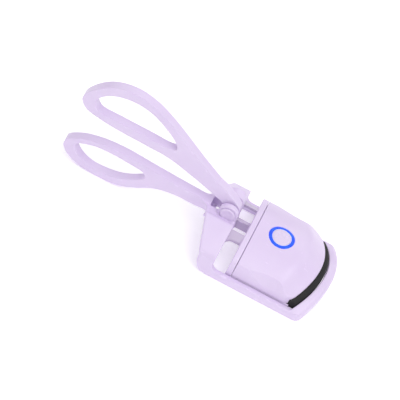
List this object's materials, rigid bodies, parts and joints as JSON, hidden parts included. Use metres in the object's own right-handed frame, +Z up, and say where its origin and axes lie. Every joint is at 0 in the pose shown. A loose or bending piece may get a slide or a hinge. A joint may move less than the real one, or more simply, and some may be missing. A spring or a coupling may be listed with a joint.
{
  "type": "heated eyelash curler",
  "caption": "Lilac heated eyelash curler: scissor handles with finger loops drive a powered slider and curved silicone pad against an arched front rim.",
  "frame": {"origin": "on the resting surface, under the centre of the bounding box", "axes": "+X towards the jaw and its rim, +Y towards the side with the charging socket, +Z up through the lever loop"},
  "size_m": [0.1165, 0.0406, 0.0515],
  "materials": {
    "lilac_plastic": "satin",
    "silicone": "matte",
    "steel": "satin",
    "aluminium_strip": "satin",
    "film": "satin",
    "nylon": "satin",
    "black_plastic": "matte",
    "cell": "satin",
    "board": "satin",
    "blue_light": "lit"
  },
  "bodies": {
    "frame": {"frame": "lilac_plastic", "pivot_pin": "lilac_plastic", "pivot_cap": "lilac_plastic", "near_washer": "nylon", "far_washer": "nylon"},
    "lever": {"lever": "lilac_plastic", "drive_pin": "steel"},
    "slider": {"slider_yoke": "lilac_plastic", "top_cover": "lilac_plastic", "bottom_cover": "lilac_plastic", "silicone_pad": "silicone", "heater_film": "film", "heat_spreader": "aluminium_strip", "temperature_sensor": "black_plastic", "battery": "cell", "circuit_board": "board", "tact_switch": "black_plastic", "rear_led": "nylon", "front_led": "nylon", "charge_board": "board", "charge_socket": "steel", "charge_contact_tongue": "black_plastic", "light_ring": "blue_light", "cover_screw_1": "steel", "cover_screw_2": "steel", "cover_screw_3": "steel", "cover_screw_4": "steel", "cap_screw_1": "steel", "cap_screw_2": "steel"},
    "button": {"power_button": "lilac_plastic"}
  },
  "joints": [
    {"name": "lever_hinge", "type": "hinge", "parent": "frame", "child": "lever", "pos_m": [0.0113, 0, 0.019], "axis": [0, 1, 0], "range_deg": [0, 32.4]},
    {"name": "slider_slide", "type": "slide", "parent": "frame", "child": "slider", "axis": [1, 0, 0], "range_m": [-0.0048, 0]},
    {"name": "button_press", "type": "slide", "parent": "slider", "child": "button", "axis": [0, 0, -1], "range_m": [0, 0.0004], "stiffness_N_per_m": 500}
  ],
  "couplings": [
    {"joint": "slider_slide", "follows": "lever_hinge", "m_per_rad": -0.0084858}
  ]
}
